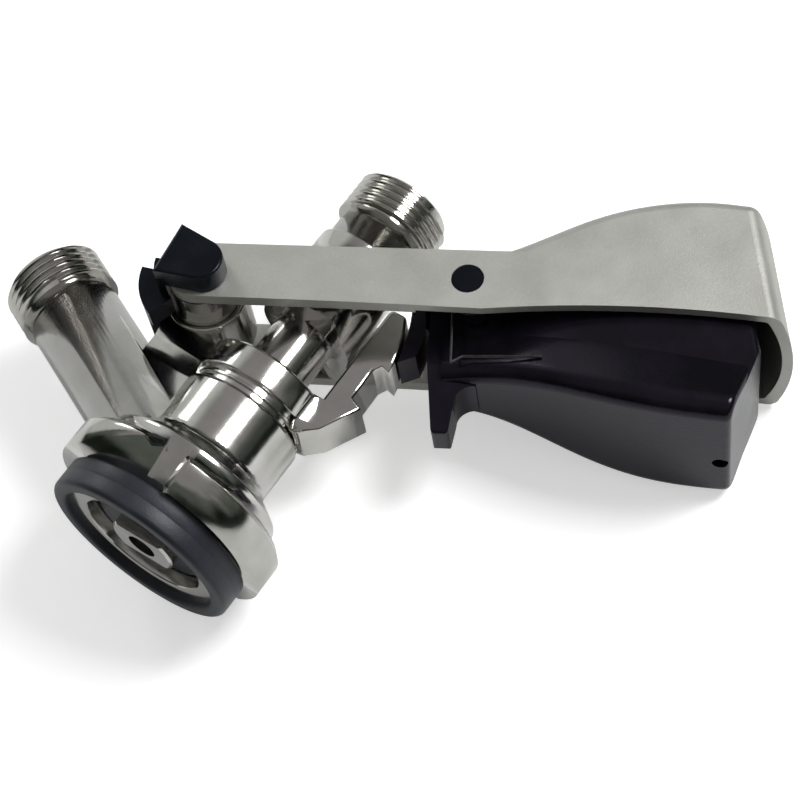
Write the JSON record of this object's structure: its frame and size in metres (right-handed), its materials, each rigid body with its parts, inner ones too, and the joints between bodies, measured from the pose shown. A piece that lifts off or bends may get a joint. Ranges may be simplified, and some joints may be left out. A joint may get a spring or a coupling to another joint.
{
  "type": "keg coupler",
  "caption": "Keg coupler with a slanted gas inlet, threaded beer outlet, sliding probe and a fork lever whose handle holds a squeeze trigger.",
  "frame": {"origin": "on the body's axis, in the plane of the seal's front face, where the coupler meets the keg", "axes": "+Z along the body axis from the keg towards the beer outlet; +X towards the handle; the gas inlet leaves towards -X"},
  "size_m": [0.1551, 0.0502, 0.1289],
  "materials": {
    "polished_nickel": "polished nickel plate over brass",
    "black_rubber": "matt moulded rubber",
    "turned_steel": "turned stainless steel",
    "matt_black_plastic": "fine-grained moulded plastic",
    "white_acetal": "plain acetal",
    "blasted_steel": "fine bead-blasted cast steel",
    "gloss_black_plastic": "semi-gloss moulded plastic",
    "spring_wire": "drawn spring wire"
  },
  "bodies": {
    "coupler": {"valve_body": "polished_nickel", "bottom_seal": "black_rubber", "guide_o_rings": "black_rubber", "gas_check_valve": "black_rubber", "gas_valve_ring": "turned_steel", "pivot_pin": "turned_steel", "pivot_bushes": "polished_nickel", "pivot_cover": "matt_black_plastic"},
    "probe": {"probe_shaft": "polished_nickel", "ball_seat": "polished_nickel", "ball_stop_pin": "turned_steel", "tip_seal": "black_rubber", "head_o_ring": "black_rubber", "outlet_yoke": "polished_nickel", "trunnion_pins": "turned_steel", "drive_rollers": "white_acetal"},
    "ball": {"check_ball": "turned_steel"},
    "lever": {"lever_shell": "blasted_steel", "trigger_pin": "turned_steel", "pin_plugs": "matt_black_plastic", "trigger_spring": "spring_wire"},
    "trigger": {"grip_trigger": "gloss_black_plastic"}
  },
  "joints": [
    {"name": "lever_pivot", "type": "hinge", "parent": "coupler", "child": "lever", "pos_m": [-0.0209, 0, 0.0544], "axis": [0, 1, 0], "range_deg": [0, 32]},
    {"name": "probe_slide", "type": "slide", "parent": "coupler", "child": "probe", "axis": [0, 0, -1], "range_m": [0, 0.01243]},
    {"name": "ball_lift", "type": "slide", "parent": "probe", "child": "ball", "axis": [0, 0, 1], "range_m": [0, 0.003]},
    {"name": "trigger_pivot", "type": "hinge", "parent": "lever", "child": "trigger", "pos_m": [0.02972, 0, 0.08188], "axis": [0, -1, 0], "range_deg": [0, 9], "stiffness_Nm_per_rad": 0.5, "springref_deg": -17.19, "deforming": ["trigger_spring"]}
  ],
  "couplings": [
    {"joint": "probe_slide", "follows": "lever_pivot", "m_per_rad": 0.02224}
  ]
}
